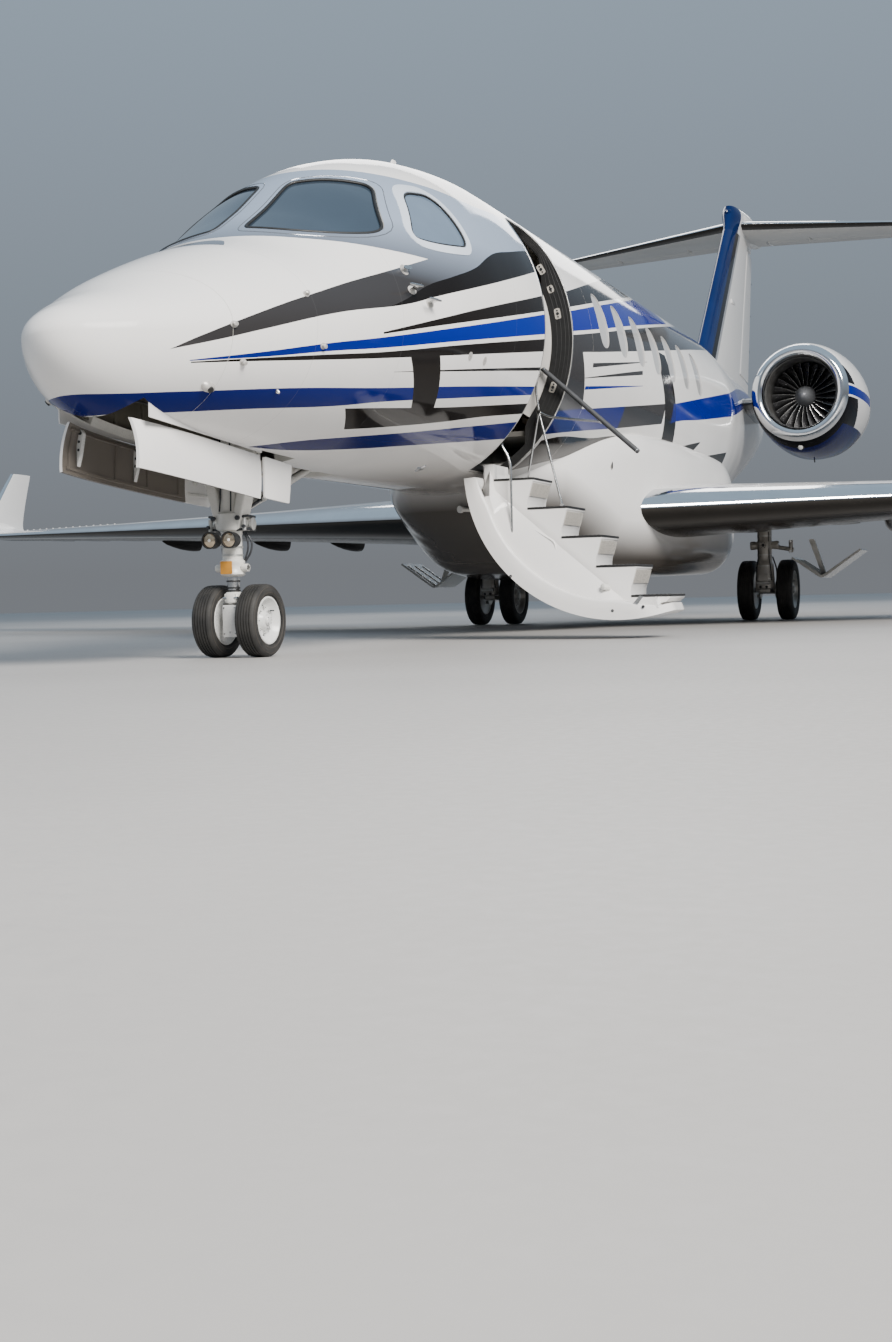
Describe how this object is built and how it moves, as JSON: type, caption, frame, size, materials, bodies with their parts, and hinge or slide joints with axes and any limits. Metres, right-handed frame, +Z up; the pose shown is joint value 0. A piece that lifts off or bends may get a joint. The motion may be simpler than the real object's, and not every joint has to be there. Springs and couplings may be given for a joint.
{
  "type": "business jet",
  "caption": "Twin-engined T-tail business jet parked on its landing gear, with its airstair door open and its nose gear doors hanging down.",
  "frame": {"origin": "on the ground, midway between the nose tip and the stabiliser tips, on the centre line", "axes": "+X to the aircraft's port (left) side, -Y towards the nose, +Z up"},
  "size_m": [20.258, 20.74, 6.415],
  "materials": {
    "white_paint": "gloss",
    "blue_paint": "gloss",
    "grey_paint": "gloss",
    "glass": "polished",
    "polished_metal": "polished",
    "gear_paint": "satin",
    "dark_metal": "satin",
    "tyre": "matte",
    "black_rubber": "matte",
    "dark_plastic": "matte",
    "lining": "satin",
    "leather": "satin",
    "carpet": "matte"
  },
  "bodies": {
    "root": {"aft_fuselage": "white_paint", "belly_fairing": "white_paint", "cabin_floor": "carpet", "cabin_seats_port": "leather", "cabin_seats_starboard": "leather", "cabin_sidewall_port": "lining", "cabin_sidewall_starboard": "lining", "centre_fuselage": "white_paint", "engine_core_port": "dark_metal", "engine_core_starboard": "dark_metal", "flight_deck_seats": "leather", "flight_deck_side_window_port": "glass", "flight_deck_side_window_starboard": "glass", "forward_fuselage": "white_paint", "instrument_panel": "dark_plastic", "main_gear_door_port": "white_paint", "main_gear_door_starboard": "white_paint", "main_gear_leg_port": "gear_paint", "main_gear_leg_starboard": "gear_paint", "nacelle_port": "white_paint", "nacelle_starboard": "white_paint", "nose_gear_leg": "gear_paint", "radome": "white_paint", "stabiliser": "white_paint", "vertical_fin": "white_paint", "windscreen_port": "glass", "windscreen_starboard": "glass", "wing_port": "white_paint", "wing_starboard": "white_paint"},
    "nose_fork": {"nose_gear_fork": "gear_paint"},
    "nose_wheels": {"nose_wheel_hubs": "gear_paint", "nose_tyre_port": "tyre", "nose_tyre_starboard": "tyre"},
    "main_wheels_port": {"main_wheel_hubs_port": "gear_paint", "main_tyre_outer_port": "tyre", "main_tyre_inner_port": "tyre"},
    "main_wheels_starboard": {"main_wheel_hubs_starboard": "gear_paint", "main_tyre_outer_starboard": "tyre", "main_tyre_inner_starboard": "tyre"},
    "fan_port": {"fan_port": "dark_metal"},
    "fan_starboard": {"fan_starboard": "dark_metal"},
    "airstair": {"airstair": "white_paint"},
    "airstair_handrail": {"airstair_handrail": "polished_metal"},
    "airstair_stay": {"airstair_stay": "polished_metal"},
    "nose_gear_door_port": {"nose_gear_door_port": "white_paint"},
    "nose_gear_door_starboard": {"nose_gear_door_starboard": "white_paint"},
    "inboard_flap_port": {"inboard_flap_port": "white_paint"},
    "inboard_flap_starboard": {"inboard_flap_starboard": "white_paint"},
    "outboard_flap_port": {"outboard_flap_port": "white_paint"},
    "outboard_flap_starboard": {"outboard_flap_starboard": "white_paint"},
    "aileron_port": {"aileron_port": "white_paint"},
    "aileron_starboard": {"aileron_starboard": "white_paint"},
    "elevator_port": {"elevator_port": "white_paint"},
    "elevator_starboard": {"elevator_starboard": "white_paint"},
    "rudder": {"rudder": "white_paint"}
  },
  "joints": [
    {"name": "nose_steering", "type": "hinge", "parent": "root", "child": "nose_fork", "pos_m": [0, -8.495, 0.4], "axis": [0, 0, 1], "range_deg": [-60, 60]},
    {"name": "nose_wheel_spin", "type": "hinge", "parent": "nose_fork", "child": "nose_wheels", "pos_m": [0, -8.435, 0.2285], "axis": [1, 0, 0], "continuous": true},
    {"name": "main_wheel_spin_port", "type": "hinge", "parent": "root", "child": "main_wheels_port", "pos_m": [1.665, 1.07, 0.343], "axis": [1, 0, 0], "continuous": true},
    {"name": "main_wheel_spin_starboard", "type": "hinge", "parent": "root", "child": "main_wheels_starboard", "pos_m": [-1.665, 1.07, 0.343], "axis": [1, 0, 0], "continuous": true},
    {"name": "fan_spin_port", "type": "hinge", "parent": "root", "child": "fan_port", "pos_m": [1.781, 3.32, 2.796], "axis": [0, 1, 0], "continuous": true},
    {"name": "fan_spin_starboard", "type": "hinge", "parent": "root", "child": "fan_starboard", "pos_m": [-1.781, 3.32, 2.796], "axis": [0, 1, 0], "continuous": true},
    {"name": "airstair_hinge", "type": "hinge", "parent": "root", "child": "airstair", "pos_m": [0.5, -5.32, 1.33], "axis": [0, -1, 0], "range_deg": [0, 115]},
    {"name": "handrail_fold", "type": "hinge", "parent": "airstair", "child": "airstair_handrail", "pos_m": [1.085, -5.025, 1.06], "axis": [0, -1, 0], "range_deg": [-60, 0]},
    {"name": "stay_fold", "type": "hinge", "parent": "airstair", "child": "airstair_stay", "pos_m": [0.845, -5.58, 0.72], "axis": [0, -1, 0], "range_deg": [-100, 0]},
    {"name": "nose_door_port", "type": "hinge", "parent": "root", "child": "nose_gear_door_port", "pos_m": [0.28, -9.91, 1.35], "axis": [0, 0.9971, -0.0758], "range_deg": [0, 84]},
    {"name": "nose_door_starboard", "type": "hinge", "parent": "root", "child": "nose_gear_door_starboard", "pos_m": [-0.28, -9.91, 1.35], "axis": [0, -0.9971, 0.0758], "range_deg": [0, 84]},
    {"name": "inboard_flap_hinge_port", "type": "hinge", "parent": "root", "child": "inboard_flap_port", "pos_m": [2.85, 0.40586, 1.20153], "axis": [-0.974, -0.2249, -0.0279], "range_deg": [0, 35]},
    {"name": "inboard_flap_hinge_starboard", "type": "hinge", "parent": "root", "child": "inboard_flap_starboard", "pos_m": [-2.85, 0.40586, 1.20153], "axis": [-0.974, 0.2249, 0.0279], "range_deg": [0, 35]},
    {"name": "outboard_flap_hinge_port", "type": "hinge", "parent": "root", "child": "outboard_flap_port", "pos_m": [4.8, 0.86663, 1.25745], "axis": [-0.9479, -0.3175, -0.0275], "range_deg": [0, 35]},
    {"name": "outboard_flap_hinge_starboard", "type": "hinge", "parent": "root", "child": "outboard_flap_starboard", "pos_m": [-4.8, 0.86663, 1.25745], "axis": [-0.9479, 0.3175, 0.0275], "range_deg": [0, 35]},
    {"name": "aileron_hinge_port", "type": "hinge", "parent": "root", "child": "aileron_port", "pos_m": [6.6, 1.50801, 1.30929], "axis": [-0.9492, -0.3134, -0.028], "range_deg": [-20, 20]},
    {"name": "aileron_hinge_starboard", "type": "hinge", "parent": "root", "child": "aileron_starboard", "pos_m": [-6.6, 1.50801, 1.30929], "axis": [-0.9492, 0.3134, 0.028], "range_deg": [-20, 20]},
    {"name": "elevator_hinge_port", "type": "hinge", "parent": "root", "child": "elevator_port", "pos_m": [0.33, 9.10721, 6.10903], "axis": [-0.9522, -0.3051, -0.0116], "range_deg": [-25, 15]},
    {"name": "elevator_hinge_starboard", "type": "hinge", "parent": "root", "child": "elevator_starboard", "pos_m": [-0.33, 9.10721, 6.10903], "axis": [-0.9522, 0.3051, 0.0116], "range_deg": [-25, 15]},
    {"name": "rudder_hinge", "type": "hinge", "parent": "root", "child": "rudder", "pos_m": [0, 7.77921, 3.76], "axis": [0, 0.4131, 0.9107], "range_deg": [-25, 25]}
  ],
  "couplings": [
    {"joint": "handrail_fold", "follows": "airstair_hinge", "ratio": -0.52174},
    {"joint": "stay_fold", "follows": "airstair_hinge", "ratio": -0.86957},
    {"joint": "nose_door_starboard", "follows": "nose_door_port", "ratio": 1},
    {"joint": "inboard_flap_hinge_starboard", "follows": "inboard_flap_hinge_port", "ratio": 1},
    {"joint": "outboard_flap_hinge_port", "follows": "inboard_flap_hinge_port", "ratio": 1},
    {"joint": "outboard_flap_hinge_starboard", "follows": "inboard_flap_hinge_port", "ratio": 1},
    {"joint": "aileron_hinge_starboard", "follows": "aileron_hinge_port", "ratio": -1},
    {"joint": "elevator_hinge_starboard", "follows": "elevator_hinge_port", "ratio": 1}
  ]
}
